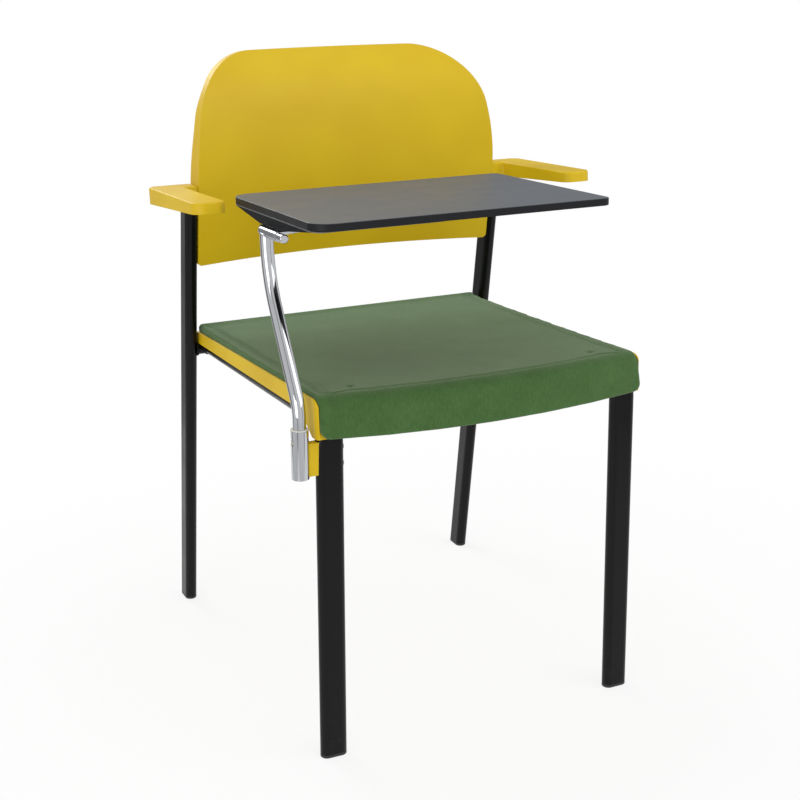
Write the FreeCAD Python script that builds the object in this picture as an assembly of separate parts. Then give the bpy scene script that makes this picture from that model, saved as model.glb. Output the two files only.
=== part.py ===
import FreeCAD, Part
import math
import os

from FreeCAD import Vector

# Stacking chair with a steel frame, two armrests and a writing tablet on a swivelling post.
# Millimetres, +Z up, the sitter faces -Y and the sitter's right hand is at -X.
# The origin is on the floor, at the middle of the chair's outline.

# Flat-oval frame tube, wider than it is high
tube_width = 34.0
tube_height = 17.0
tube_wall = 2.0
frame_bend_radius = 28.0

# Front legs, each bent into a seat rail
front_foot_x = 205.8
front_foot_y = -234.6
rail_front_x = 201.3
rail_front_y = -225.5
rail_rear_x = 197.0
rail_rear_z = 410.2
seat_tilt = 3.5

# Rear uprights, from the floor to the armrests
upright_x = 231.8
upright_foot_y = 275.6
upright_top_y = 184.5
upright_top_z = 624.5

# Crossbar under the front half of the seat
front_crossbar_y = -110.0

# Foot glides, plugged into the tube ends
glide_thickness = 4.0
glide_stem_length = 14.0
glide_stem_clearance = 0.3
glide_edge_round = 1.2

# Seat shell: a pan on the rails whose cheeks hang beside them
shell_rear_gap = 4.0
shell_side_wall = 2.5
shell_floor_thickness = 3.5
shell_tube_clearance = 0.3
shell_rail_gap = 0.1
shell_front_clearance = 0.8
shell_corner_clearance = 0.7
shell_lip_proud = 3.2
shell_lip_width = 3.0
shell_lip_rear_height = 15.0
shell_lip_front_height = 19.0
shell_brow_radius = 20.0
shell_pan_bend_radius = 30.0
cheek_rear_drop = 0.5
cheek_front_drop = 3.0
cheek_tongue_drop = 28.0
cheek_tongue_width = 21.0
cheek_tongue_slope_run = 34.0
cheek_tongue_radius = 6.0
cheek_slope_radius = 25.0
shell_edge_round = 1.5

# Seat board and upholstered pad
board_thickness = 5.0
board_rear_gap = 8.0
board_front_setback = 54.0
pad_side_gap = 0.5
pad_shell_gap = 0.3
pad_rear_gap = 3.0
pad_edge_height = 14.0
pad_dish = 4.0
pad_side_dish = 1.0
pad_side_round = 4.0
pad_front_overhang = 25.7
pad_corner_overhang = 6.7
pad_corner_wall = 2.0
pad_front_lean = 4.0
pad_front_round = 20.0
pad_apron_round = 10.5
pad_apron_straight = 1.0
pad_bottom_drop = 3.0
pad_corner_rise = 1.5
pad_hem_radius = 4.0
pad_hem_share = 0.6
pad_bevel_length = 12.0
pad_roll_height = 3.5
pad_roll_length = 28.0
pad_roll_round = 3.0
pad_roll_bulge_share = 0.25
pad_station_count = 6
pad_round_steps = 6

# Screws that hold the shell and the board to the rails
seat_screw_radius = 3.0
seat_screw_head_radius = 5.5
seat_screw_head_height = 3.0
seat_screw_bite = 3.5
seat_screw_rear_inset = 60.0
seat_screw_front_inset = 350.0

# Back shell: concave in plan, rolled back at the top, flanged at the sides
back_bottom_z = 534.0
back_top_z = 815.0
back_plan_radius = 810.0
back_wall = 4.0
back_upright_gap = 0.3
back_waist_radius = 560.0
back_waist_turn = 10.0
back_side_straight = 0.6
back_corner_radius = 97.0
back_bottom_corner_radius = 6.0
back_foot_y = 215.5
back_foot_z = 524.0
back_knee_y = 192.1
back_knee_z = 681.0
back_knee_radius = 305.0
back_roll_y = 208.1
back_roll_z = 783.0
back_roll_radius = 129.0
back_crown_y = 258.0
back_crown_z = 823.5
flange_foot_y = 215.5
flange_knee_y = 193.8
flange_knee_z = 715.0
flange_knee_radius = 120.0
flange_roll_y = 197.5
flange_roll_z = 766.0
flange_roll_radius = 40.0
flange_crown_y = 250.0

# Screws from the back's flanges into the uprights
back_screw_radius = 2.4
back_screw_head_radius = 4.5
back_screw_head_height = 2.5
back_screw_low_z = 562.0
back_screw_high_z = 608.0

# Armrests on top of the uprights
arm_outer_x = 284.0
arm_width = 42.0
arm_rear_reach = 17.5
arm_front_reach = 194.5
arm_return_front_reach = 18.0
arm_rear_thickness = 22.5
arm_front_thickness = 14.0
arm_tilt = 6.0
arm_rear_corner_radius = 15.0
arm_front_outer_radius = 16.0
arm_front_inner_radius = 12.0
arm_inner_corner_radius = 5.0
arm_edge_round = 2.5

# Steel bracket let into the underside of each armrest
bracket_thickness = 4.0
bracket_width = 20.0
bracket_end_margin = 20.0
bracket_half_depth = 14.0
bracket_edge_inset = 3.0
bracket_outer_inset = 12.0
bracket_clearance = 0.2

# Countersunk screws through the bracket into the armrest
arm_screw_radius = 2.0
arm_screw_head_radius = 4.0
arm_screw_head_height = 2.4
arm_screw_length = 11.0
arm_screw_first_reach = 10.0
arm_screw_pitch = 60.0
arm_screw_count = 3

# Sleeve on the right front leg, in which the post swivels
sleeve_outer_radius = 10.5
sleeve_wall = 1.3
sleeve_bottom_z = 371.0
sleeve_top_z = 431.0
slot_middle_z = 417.0
slot_height = 7.8
slot_front_angle = 203.0
slot_rear_angle = 81.0

# Clamp block between the leg and the sleeve
clamp_bottom_z = 373.0
clamp_top_z = 413.5
clamp_width = 10.0
clamp_thickness = 9.0
clamp_screw_radius = 2.5
clamp_screw_head_radius = 4.5
clamp_screw_head_height = 1.2
clamp_screw_head_sink = 0.8
clamp_screw_edge_inset = 10.0
clamp_screw_bite = 6.0

# Bushes and plug inside the sleeve
post_running_clearance = 0.06
bush_seat_clearance = 0.05
bush_slot_clearance = 0.6
upper_bush_flange_height = 1.2
upper_bush_flange_radius = 9.9
plug_height = 5.0

# Chrome post, straight in the sleeve, then slanted back and upright again under the tablet
post_radius = 8.0
post_wall = 2.0
post_set_back = 91.8
post_lower_bend_rise = 26.0
post_lower_bend_radius = 50.0
post_upper_bend_z = 596.0
post_upper_bend_radius = 148.0
post_top_drop = 1.5

# Stop pin of the post, which runs in the sleeve's slot
stop_pin_radius = 3.5
stop_pin_depth = 4.0
stop_pin_recess = 1.0
stop_pin_clearance = 0.05
stop_pin_slack_angle = 1.0

# Tablet hinge: a barrel on the post, an axle and two knuckles on a leaf
hinge_z = 644.5
tablet_tilt = 3.0
barrel_radius = 6.2
barrel_front_reach = 38.0
barrel_rear_reach = 8.5
axle_radius = 3.2
axle_clearance = 0.04
axle_end_cover = 3.0
washer_radius = 6.0
front_washer_thickness = 3.0
rear_washer_thickness = 1.0
washer_clearance = 0.1
knuckle_radius = 5.2
knuckle_end_round = 1.5
front_knuckle_length = 18.0
rear_knuckle_length = 6.0
knuckle_gap = 0.1
knuckle_web_outset = 3.0
knuckle_web_length = 8.5
leaf_barrel_gap = 0.5
leaf_width = 50.0
leaf_thickness = 3.0
leaf_front_reach = 44.0
leaf_rear_reach = 24.0
stop_width = 12.0
stop_depth = 4.5
stop_length = 20.0

# Moulded underbody of the tablet, a faceted tray
underbody_bottom_height = 6.5
underbody_wall = 3.0
underbody_outer_set_in = 1.8
underbody_bottom_width = 75.0
underbody_bottom_front = 42.0
underbody_bottom_rear = 24.0
underbody_top_width = 152.0
underbody_rim_inset = 1.0
underbody_corner_inset = 0.5
underbody_front_inset = 6.0
underbody_rear_inset = 8.0
boss_radius = 5.5

# Screws from the leaf through the underbody's bosses into the writing board
leaf_screw_radius = 2.5
leaf_screw_head_radius = 4.5
leaf_screw_head_height = 2.5
leaf_screw_bite = 5.0
leaf_screw_hole_clearance = 0.1
leaf_screw_near = 14.0
leaf_screw_far = 38.0
leaf_screw_front = 30.0
leaf_screw_rear = 12.0

# Writing board
tablet_width = 371.0
tablet_depth = 279.0
tablet_thickness = 9.0
tablet_height = 20.1
tablet_outer_overhang = 1.7
tablet_front_reach = 158.6
tablet_big_corner_radius = 25.0
tablet_small_corner_radius = 10.0
tablet_edge_round = 1.2

# Length by which cutting solids run past what they cut
overrun = 30.0

# Places worked out from the sizes above
floor_z = 0.0
upright_slope = (upright_top_y - upright_foot_y) / upright_top_z
rail_rear_y = upright_foot_y + upright_slope * rail_rear_z
rail_front_z = rail_rear_z + math.tan(math.radians(seat_tilt)) * (rail_rear_y - rail_front_y)
leg_slope_x = (rail_front_x - front_foot_x) / rail_front_z
leg_slope_y = (rail_front_y - front_foot_y) / rail_front_z
upright_inner_x = upright_x - tube_height / 2
seat_origin = Vector(0, rail_rear_y, rail_rear_z)
seat_length = (rail_rear_y - rail_front_y) / math.cos(math.radians(seat_tilt))
sleeve_bore_radius = sleeve_outer_radius - sleeve_wall
clamp_middle_z = (clamp_bottom_z + clamp_top_z) / 2
leg_outer_x = front_foot_x + leg_slope_x * clamp_middle_z + tube_width / 2
sleeve_x = -(leg_outer_x + clamp_thickness + sleeve_outer_radius)
sleeve_y = front_foot_y + leg_slope_y * clamp_middle_z
hinge_y = sleeve_y + post_set_back
hinge_origin = Vector(sleeve_x, hinge_y, hinge_z)
arm_origin = Vector(0, upright_top_y, upright_top_z)


def line(start, end):
    return Part.makeLine(start, end)


def arc(start, middle, end):
    return Part.Arc(start, middle, end).toShape()


def rounded_corner(before, corner, after, radius):
    """First, middle and last point of the arc that rounds one corner."""
    inward = (before - corner).normalize()
    outward = (after - corner).normalize()
    half_angle = inward.getAngle(outward) / 2
    reach = radius / math.tan(half_angle)
    bisector = (inward + outward).normalize()
    middle = corner + bisector * (radius / math.sin(half_angle) - radius)
    return corner + inward * reach, middle, corner + outward * reach


def bent_path(points, radii):
    """Open path of straight runs joined by tangent arcs."""
    edges = []
    start = points[0]
    for before, corner, after, radius in zip(points, points[1:], points[2:], radii):
        first, middle, last = rounded_corner(before, corner, after, radius)
        edges.append(line(start, first))
        edges.append(arc(first, middle, last))
        start = last
    edges.append(line(start, points[-1]))
    return edges


def outline(corners, place):
    """Closed outline through (a, b, radius) corners, put in space by place(a, b)."""
    points = [place(a, b) for a, b, radius in corners]
    stretches = []
    for index, (a, b, radius) in enumerate(corners):
        corner = points[index]
        if radius:
            after = points[(index + 1) % len(points)]
            stretches.append(rounded_corner(points[index - 1], corner, after, radius))
        else:
            stretches.append((corner, corner, corner))
    edges = []
    for index, (first, middle, last) in enumerate(stretches):
        if corners[index][2]:
            edges.append(arc(first, middle, last))
        edges.append(line(last, stretches[(index + 1) % len(stretches)][0]))
    return Part.Wire(edges)


def side_prism(corners, x_from, x_to):
    """Solid with a (y, z) side outline, between two planes across the chair."""
    wire = outline(corners, lambda y, z: Vector(x_from, y, z))
    return Part.Face(wire).extrude(Vector(x_to - x_from, 0, 0))


def plan_prism(corners, z_from, z_to):
    """Solid with an (x, y) plan outline, between two heights."""
    wire = outline(corners, lambda x, y: Vector(x, y, z_from))
    return Part.Face(wire).extrude(Vector(0, 0, z_to - z_from))


def block(x_from, x_to, y_from, y_to, z_from, z_to):
    size = Vector(x_to - x_from, y_to - y_from, z_to - z_from)
    return Part.makeBox(size.x, size.y, size.z, Vector(x_from, y_from, z_from))


def rod(radius, start, end):
    return Part.makeCylinder(radius, (end - start).Length, start, end - start)


def oval(centre, long_axis, short_axis, width, height):
    """Flat-oval outline: two straight sides and two half-round ends."""
    radius = height / 2
    along = long_axis * (width / 2 - radius)
    nose = long_axis * (width / 2)
    up = short_axis * radius
    edges = [line(centre + along + up, centre - along + up),
             arc(centre - along + up, centre - nose, centre - along - up),
             line(centre - along - up, centre + along - up),
             arc(centre + along - up, centre + nose, centre + along + up)]
    return Part.Wire(edges)


def oval_bar(path_edges, long_axis, trim):
    """Flat-oval bar along a path; trim makes the section smaller all round."""
    path = Part.Wire(path_edges)
    start = path_edges[0].Vertexes[0].Point
    direction = (path_edges[0].Vertexes[-1].Point - start).normalize()
    short_axis = direction.cross(long_axis).normalize()
    section = oval(start, long_axis, short_axis, tube_width - 2 * trim, tube_height - 2 * trim)
    return path.makePipeShell([section], True, False)


def mirrored(shape):
    return shape.mirror(Vector(0, 0, 0), Vector(1, 0, 0))


def on_tilted_frame(shape, origin, tilt):
    """Move a shape from a level frame to one that rises by tilt towards the front."""
    shape.rotate(Vector(0, 0, 0), Vector(1, 0, 0), -tilt)
    shape.translate(origin)
    return shape


def on_seat(shape):
    return on_tilted_frame(shape, seat_origin, seat_tilt)


def on_arm(shape):
    return on_tilted_frame(shape, arm_origin, arm_tilt)


def on_hinge(shape):
    return on_tilted_frame(shape, hinge_origin, tablet_tilt)


def rounded_edges(shape, radius, chosen):
    """Fillet the edges whose middle point passes the test."""
    edges = [edge for edge in shape.Edges if chosen(edge.CenterOfMass)]
    return shape.makeFillet(radius, edges)


def leg_bar(trim):
    """Left front leg and seat rail as one bent bar, run on past the floor."""
    lean = Vector(leg_slope_x, leg_slope_y, 1)
    foot = Vector(front_foot_x, front_foot_y, floor_z) - lean * overrun
    corner = Vector(rail_front_x, rail_front_y, rail_front_z)
    rear = Vector(rail_rear_x, rail_rear_y, rail_rear_z)
    across = (rear - corner).cross(corner - foot).normalize()
    return oval_bar(bent_path([foot, corner, rear], [frame_bend_radius]), across, trim)


def upright_bar(trim):
    """Left rear upright, run on past the floor and the armrest."""
    lean = Vector(0, upright_slope, 1)
    foot = Vector(upright_x, upright_foot_y, floor_z) - lean * overrun
    top = Vector(upright_x, upright_top_y, upright_top_z) + lean * overrun
    across = lean.cross(Vector(1, 0, 0)).normalize()
    return oval_bar([line(foot, top)], across, trim)


def level_slice(shape, z_from, z_to):
    """The stretch of a standing bar between two heights."""
    bounds = shape.BoundBox
    return shape.common(block(bounds.XMin - overrun, bounds.XMax + overrun,
                              bounds.YMin - overrun, bounds.YMax + overrun, z_from, z_to))


def above_glide(shape):
    return level_slice(shape, floor_z + glide_thickness, shape.BoundBox.ZMax + overrun)


def crossbar_bar(trim, y, half_length):
    """Flat-oval bar across the chair at the height of the rails."""
    tilt = math.radians(seat_tilt)
    z = rail_rear_z + math.tan(tilt) * (rail_rear_y - y)
    across = Vector(0, math.cos(tilt), -math.sin(tilt))
    return oval_bar([line(Vector(-half_length, y, z), Vector(half_length, y, z))], across, trim)


def rail_x(inset):
    """Distance of a rail's middle from the chair's middle, at an inset from the rear crossbar."""
    return rail_rear_x + (rail_front_x - rail_rear_x) * inset / seat_length


def foot_glide(bar, core):
    sole = level_slice(bar, floor_z, floor_z + glide_thickness)
    sole = rounded_edges(sole, glide_edge_round, lambda p: p.z < glide_edge_round)
    stem_top = floor_z + glide_thickness + glide_stem_length
    return sole.fuse(level_slice(core, floor_z + glide_thickness / 2, stem_top)).removeSplitter()


def side_frame(cutters):
    tube = above_glide(leg_bar(0)).cut(above_glide(leg_bar(tube_wall)))
    return tube.cut(cutters)


def rear_crossbar():
    tube = crossbar_bar(0, rail_rear_y, upright_inner_x)
    return tube.cut(crossbar_bar(tube_wall, rail_rear_y, upright_inner_x))


def front_crossbar():
    half_length = rail_x(seat_length)
    tube = crossbar_bar(0, front_crossbar_y, half_length)
    tube = tube.cut(crossbar_bar(tube_wall, front_crossbar_y, half_length))
    rail = leg_bar(0)
    pieces = tube.cut([rail, mirrored(rail)]).Solids
    return max(pieces, key=lambda piece: piece.Volume)


def rear_upright(cutters):
    tube = above_glide(upright_bar(0)).cut(above_glide(upright_bar(tube_wall)))
    seat_of_arm = on_arm(block(0, arm_outer_x + overrun, -arm_front_reach, arm_front_reach,
                               0, upright_top_z))
    return tube.cut([seat_of_arm] + cutters)


# The seat pieces are drawn in a level frame whose y runs back along the rail and whose origin is
# the middle of the rear crossbar.
rail_top = tube_height / 2
pan_underside = rail_top + shell_rail_gap
pan_top = pan_underside + shell_floor_thickness
board_top = pan_top + board_thickness
shell_half_width = rail_front_x + tube_width / 2 + shell_tube_clearance + shell_side_wall
recess_half_width = shell_half_width - shell_lip_width
pad_half_width = recess_half_width - pad_side_gap
leg_front = -seat_length - tube_height / 2
pan_wall_rear = leg_front - shell_front_clearance
pan_wall_front = pan_wall_rear - shell_floor_thickness
shell_front = pan_wall_front - shell_lip_proud
tongue_bottom = rail_top - cheek_tongue_drop
pan_outer_bend_radius = shell_pan_bend_radius + shell_floor_thickness


def seat_plan(half_width, front, corner_radius):
    """Plan outline of the shell, with rounded front corners."""
    low = tongue_bottom - overrun
    high = rail_top + shell_lip_front_height + overrun
    return plan_prism([(-half_width, overrun, 0), (-half_width, front, corner_radius),
                       (half_width, front, corner_radius), (half_width, overrun, 0)], low, high)


def under_pan_space():
    """The room below the pan, where rails and leg bends lie."""
    low = tongue_bottom - overrun
    half_width = shell_half_width - shell_side_wall
    room = side_prism([(overrun, pan_underside, 0),
                       (pan_wall_rear, pan_underside, shell_pan_bend_radius),
                       (pan_wall_rear, low, 0), (overrun, low, 0)], -half_width, half_width)
    corner_radius = tube_height / 2 + shell_corner_clearance
    return room.common(seat_plan(half_width, pan_wall_rear, corner_radius))


def pad_recess():
    """The room above and before the pan, where board and pad lie."""
    low = tongue_bottom - overrun
    high = rail_top + shell_lip_front_height + overrun
    ahead = shell_front - overrun
    return side_prism([(overrun, pan_top, 0), (pan_wall_front, pan_top, pan_outer_bend_radius),
                       (pan_wall_front, low, 0), (ahead, low, 0), (ahead, high, 0),
                       (overrun, high, 0)], -recess_half_width, recess_half_width)


def seat_shell(cutters):
    rear = -shell_rear_gap
    tongue_rear = shell_front + cheek_tongue_width
    profile = [(rear, rail_top - cheek_rear_drop, 0),
               (rear, rail_top + shell_lip_rear_height, 0),
               (shell_front, rail_top + shell_lip_front_height, shell_brow_radius),
               (shell_front, tongue_bottom, cheek_tongue_radius),
               (tongue_rear, tongue_bottom, cheek_tongue_radius),
               (tongue_rear + cheek_tongue_slope_run, rail_top - cheek_front_drop,
                cheek_slope_radius)]
    body = side_prism(profile, -shell_half_width, shell_half_width)
    corner_radius = tube_height / 2 + shell_corner_clearance + shell_side_wall
    body = body.common(seat_plan(shell_half_width, shell_front, corner_radius))
    rim = shell_half_width - shell_edge_round
    body = rounded_edges(body, shell_edge_round, lambda p: abs(p.x) > rim and p.y < rear - overrun
                         and p.z > rail_top)
    return on_seat(body.cut([under_pan_space(), pad_recess()])).cut(cutters)


def seat_board(cutters):
    front = pan_wall_front + board_front_setback
    body = block(-pad_half_width, pad_half_width, front, -board_rear_gap, pan_top, board_top)
    return on_seat(body).cut(cutters)


def drawn_in(x, radius):
    """How far a round at the pad's side has drawn its surface in at one place across the seat."""
    reach = max(0, abs(x) - (pad_half_width - radius))
    return radius - math.sqrt(max(0, radius ** 2 - reach ** 2))


def pad_section(x):
    """Side outline of the pad at one place across the seat."""
    across = x / pad_half_width
    inset = drawn_in(x, pad_side_round)
    front = pan_wall_front - pad_shell_gap
    bend_top = pan_top + pad_shell_gap
    bend_radius = pan_outer_bend_radius + pad_shell_gap
    bend_centre_z = bend_top - bend_radius
    bend_start = pan_wall_front + pan_outer_bend_radius
    bevel = bend_start + pad_bevel_length
    droop = pad_bottom_drop - (pad_bottom_drop + pad_corner_rise) * across ** 2
    bottom = tongue_bottom - droop + drawn_in(x, pad_apron_round)
    bend_end_rise = max(0, bottom + pad_apron_straight - bend_centre_z)
    bow = (pad_front_overhang - pad_corner_overhang) * across ** 2
    face = min(front - pad_front_overhang + bow + inset, front - pad_corner_wall)
    hem = min(pad_hem_radius, pad_hem_share * (front - face))
    top = board_top + pad_edge_height - inset
    brow = face + min(pad_front_lean, front - face)
    rear = -pad_rear_gap - inset
    roll = rear - pad_roll_length
    roll_top = top + pad_roll_height
    dish = pad_dish - (pad_dish - pad_side_dish) * across ** 2
    middle = (brow + pad_front_round + roll) / 2

    def at(y, z):
        return Vector(x, y, z)

    def between(first, last, bulge):
        """Arc between two points, bulging down by the given height."""
        return arc(first, (first + last) / 2 - Vector(0, 0, bulge), last)

    def on_bend(angle):
        return at(bend_start - bend_radius * math.cos(angle),
                  bend_centre_z + bend_radius * math.sin(angle))

    half = math.sqrt(1 / 2)
    last_angle = math.asin(bend_end_rise / bend_radius)
    bend_middle = on_bend((math.pi / 2 + last_angle) / 2)
    bend_end = on_bend(last_angle)
    hem_middle = at(face + hem * (1 - half), bottom + hem * (1 - half))
    brow_middle = at(brow + pad_front_round * (1 - half), top - pad_front_round * (1 - half))
    round_middle = at(rear - pad_roll_round * (1 - half), roll_top - pad_roll_round * (1 - half))
    edges = [line(at(rear, board_top), at(bevel, board_top)),
             line(at(bevel, board_top), at(bend_start, bend_top)),
             arc(at(bend_start, bend_top), bend_middle, bend_end),
             line(bend_end, at(front, bottom)),
             line(at(front, bottom), at(face + hem, bottom)),
             arc(at(face + hem, bottom), hem_middle, at(face, bottom + hem)),
             line(at(face, bottom + hem), at(brow, top - pad_front_round)),
             arc(at(brow, top - pad_front_round), brow_middle, at(brow + pad_front_round, top)),
             arc(at(brow + pad_front_round, top), at(middle, top - dish), at(roll, top)),
             between(at(roll, top), at(rear - pad_roll_round, roll_top),
                     pad_roll_height * pad_roll_bulge_share),
             arc(at(rear - pad_roll_round, roll_top), round_middle,
                 at(rear, roll_top - pad_roll_round)),
             line(at(rear, roll_top - pad_roll_round), at(rear, board_top))]
    return Part.Wire(edges)


def seat_pad():
    """Crowned pad: its sides are drawn in by a quarter round, its middle is dished."""
    flat = pad_half_width - pad_apron_round
    stations = [flat * (2 * step / pad_station_count - 1) for step in range(pad_station_count + 1)]
    for step in range(1, pad_round_steps + 1):
        x = flat + pad_apron_round * math.sin(math.radians(90 * step / pad_round_steps))
        stations.append(x)
        stations.insert(0, -x)
    return on_seat(Part.makeLoft([pad_section(x) for x in stations], True, True))


def seat_screw_places():
    """Places of the four seat screws in the seat's frame, on the middle of the rails."""
    places = []
    for inset in (seat_screw_rear_inset, seat_screw_front_inset):
        for side in (-1, 1):
            places.append(Vector(side * rail_x(inset), -inset, 0))
    return places


def seat_screw(place, clearance):
    """Pan-head screw from below the rail into the board."""
    below = place - Vector(0, 0, rail_top)
    head = rod(seat_screw_head_radius, below - Vector(0, 0, seat_screw_head_height), below)
    tip = place + Vector(0, 0, pan_top + seat_screw_bite)
    return on_seat(head.fuse(rod(seat_screw_radius + clearance, below, tip)))


def behind_back_face():
    """Everything behind the front face of the back, as a solid turned about a far axis."""
    foot = Vector(0, back_foot_y, back_foot_z)
    knee = Vector(0, back_knee_y, back_knee_z)
    roll = Vector(0, back_roll_y, back_roll_z)
    crown = Vector(0, back_crown_y, back_crown_z)
    rear_y = back_crown_y + overrun
    edges = bent_path([foot, knee, roll, crown], [back_knee_radius, back_roll_radius])
    edges.append(line(crown, Vector(0, rear_y, back_crown_z)))
    edges.append(line(Vector(0, rear_y, back_crown_z), Vector(0, rear_y, back_foot_z)))
    edges.append(line(Vector(0, rear_y, back_foot_z), foot))
    axis = Vector(0, back_foot_y - back_plan_radius, 0)
    half_angle = math.degrees(math.asin((upright_x + overrun) / back_plan_radius))
    face = Part.Face(Part.Wire(edges))
    face.rotate(axis, Vector(0, 0, 1), -half_angle)
    return face.revolve(axis, Vector(0, 0, 1), 2 * half_angle)


def back_outline(inset, bottom_z, bottom_radius):
    """Front outline of the back as a solid along Y; inset makes it smaller."""
    half_width = upright_inner_x - back_upright_gap - inset
    top = back_top_z - inset
    turn = math.radians(back_waist_turn)
    corner_radius = back_corner_radius - inset
    waist_radius = back_waist_radius - inset
    slope_length = (waist_radius * math.tan(turn / 2) + back_side_straight
                    + corner_radius * math.tan((math.pi / 2 - turn) / 2))
    waist_z = top - slope_length * math.cos(turn)
    shoulder = half_width - slope_length * math.sin(turn)
    corners = [(half_width, bottom_z, bottom_radius), (half_width, waist_z, waist_radius),
               (shoulder, top, corner_radius), (-shoulder, top, corner_radius),
               (-half_width, waist_z, waist_radius), (-half_width, bottom_z, bottom_radius)]
    front_y = back_knee_y - back_plan_radius / 2
    wire = outline(corners, lambda x, z: Vector(x, front_y, z))
    return Part.Face(wire).extrude(Vector(0, back_plan_radius, 0))


def flange_room():
    """Everything before the rear edge of the back's flanges."""
    front_y = back_knee_y - overrun - overrun
    half_width = upright_x
    corners = [(front_y, back_foot_z, 0), (flange_foot_y, back_foot_z, 0),
               (flange_knee_y, flange_knee_z, flange_knee_radius),
               (flange_roll_y, flange_roll_z, flange_roll_radius),
               (flange_crown_y, back_crown_z, 0), (front_y, back_crown_z, 0)]
    return side_prism(corners, -half_width, half_width)


def back_shell(cutters):
    behind = behind_back_face()
    deeper = behind.copy()
    deeper.translate(Vector(0, back_wall, 0))
    whole = back_outline(0, back_bottom_z, back_bottom_corner_radius)
    inner = back_outline(back_wall, back_bottom_z - overrun, 0)
    skin = behind.cut(deeper).common(whole)
    flange = behind.common(whole).cut(inner).common(flange_room())
    return skin.fuse(flange).removeSplitter().cut(cutters)


def back_screw_places():
    """Places of the left screws on the upright's inner face."""
    places = []
    for z in (back_screw_low_z, back_screw_high_z):
        places.append(Vector(upright_inner_x, upright_foot_y + upright_slope * z, z))
    return places


def back_screw(place, clearance):
    """Round-head screw from inside the flange into the upright's wall."""
    flange_x = upright_inner_x - back_upright_gap - back_wall
    seat = Vector(flange_x, place.y, place.z)
    head = rod(back_screw_head_radius, seat - Vector(back_screw_head_height, 0, 0), seat)
    tip = place + Vector(tube_wall, 0, 0)
    return head.fuse(rod(back_screw_radius + clearance, seat, tip))


# The armrest pieces are drawn in a level frame whose origin is the middle of the upright's top.
bracket_outer_x = arm_outer_x - bracket_outer_inset
bracket_length = arm_screw_first_reach + (arm_screw_count - 1) * arm_screw_pitch + bracket_end_margin


def bracket_plate(clearance):
    """L-shaped plate from the upright's top out and forward under the armrest."""
    inner = upright_inner_x + bracket_edge_inset - clearance
    outer = bracket_outer_x + clearance
    bar_inner = bracket_outer_x - bracket_width - clearance
    half_depth = bracket_half_depth + clearance
    front = -bracket_length - clearance
    corners = [(inner, half_depth, 0), (inner, -half_depth, 0), (bar_inner, -half_depth, 0),
               (bar_inner, front, 0), (outer, front, 0), (outer, half_depth, 0)]
    return plan_prism(corners, 0, bracket_thickness + clearance)


def arm_screw(index, clearance):
    """Countersunk screw up through the bracket's plate into the armrest."""
    x = bracket_outer_x - bracket_width / 2
    y = -arm_screw_first_reach - index * arm_screw_pitch
    foot = Vector(x, y, 0)
    neck = Vector(x, y, arm_screw_head_height)
    up = Vector(0, 0, 1)
    head = Part.makeCone(arm_screw_head_radius + clearance, arm_screw_radius + clearance,
                         arm_screw_head_height, foot, up)
    return head.fuse(rod(arm_screw_radius + clearance, neck, foot + up * arm_screw_length))


def arm_screws(clearance):
    return [on_arm(arm_screw(index, clearance)) for index in range(arm_screw_count)]


def armrest():
    inner = arm_outer_x - arm_width
    rear = arm_rear_reach
    front = -arm_front_reach
    plan = [(arm_outer_x, rear, arm_rear_corner_radius),
            (arm_outer_x, front, arm_front_outer_radius),
            (inner, front, arm_front_inner_radius),
            (inner, -arm_return_front_reach, arm_inner_corner_radius),
            (upright_inner_x, -arm_return_front_reach, 0),
            (upright_inner_x, rear, 0)]
    body = plan_prism(plan, 0, arm_rear_thickness)
    side = [(rear, 0, 0), (rear, arm_rear_thickness, 0), (front, arm_front_thickness, 0),
            (front, 0, 0)]
    body = body.common(side_prism(side, upright_inner_x, arm_outer_x))
    taper = (arm_rear_thickness - arm_front_thickness) / (rear - front)

    def on_top(p):
        return abs(p.z - arm_front_thickness - taper * (p.y - front)) < arm_edge_round / 2

    body = rounded_edges(body, arm_edge_round, on_top)
    return on_arm(body.cut(bracket_plate(bracket_clearance))).cut(arm_screws(bracket_clearance))


def arm_bracket():
    return on_arm(bracket_plate(0)).cut(arm_screws(bush_seat_clearance))


def sleeve_axis(z):
    return Vector(sleeve_x, sleeve_y, z)


def slot_sector():
    """The sector of the slot in the sleeve's wall."""
    height_from = slot_middle_z - slot_height / 2
    sweep = slot_front_angle - slot_rear_angle
    sector = Part.makeCylinder(sleeve_outer_radius + overrun, slot_height,
                               sleeve_axis(height_from), Vector(0, 0, 1), sweep)
    sector.rotate(sleeve_axis(height_from), Vector(0, 0, 1), slot_rear_angle)
    return sector


def post_sleeve():
    bottom = sleeve_axis(sleeve_bottom_z)
    top = sleeve_axis(sleeve_top_z)
    return rod(sleeve_outer_radius, bottom, top).cut([rod(sleeve_bore_radius, bottom, top),
                                                      slot_sector()])


def bush(z_from, z_to):
    outer = sleeve_bore_radius - bush_seat_clearance
    inner = post_radius + post_running_clearance
    bottom = sleeve_axis(z_from)
    top = sleeve_axis(z_to)
    return rod(outer, bottom, top).cut(rod(inner, bottom, top))


def upper_bush():
    """Bush above the slot, with a flange on the sleeve's rim."""
    body = bush(slot_middle_z + slot_height / 2 + bush_slot_clearance, sleeve_top_z)
    rim = sleeve_axis(sleeve_top_z)
    top = sleeve_axis(sleeve_top_z + upper_bush_flange_height)
    flange = rod(upper_bush_flange_radius, rim, top)
    return body.fuse(flange.cut(rod(post_radius + post_running_clearance, rim, top)))


def lower_bush():
    return bush(sleeve_bottom_z + plug_height,
                slot_middle_z - slot_height / 2 - bush_slot_clearance)


def sleeve_plug():
    return rod(sleeve_bore_radius - bush_seat_clearance, sleeve_axis(sleeve_bottom_z),
               sleeve_axis(sleeve_bottom_z + plug_height))


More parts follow.
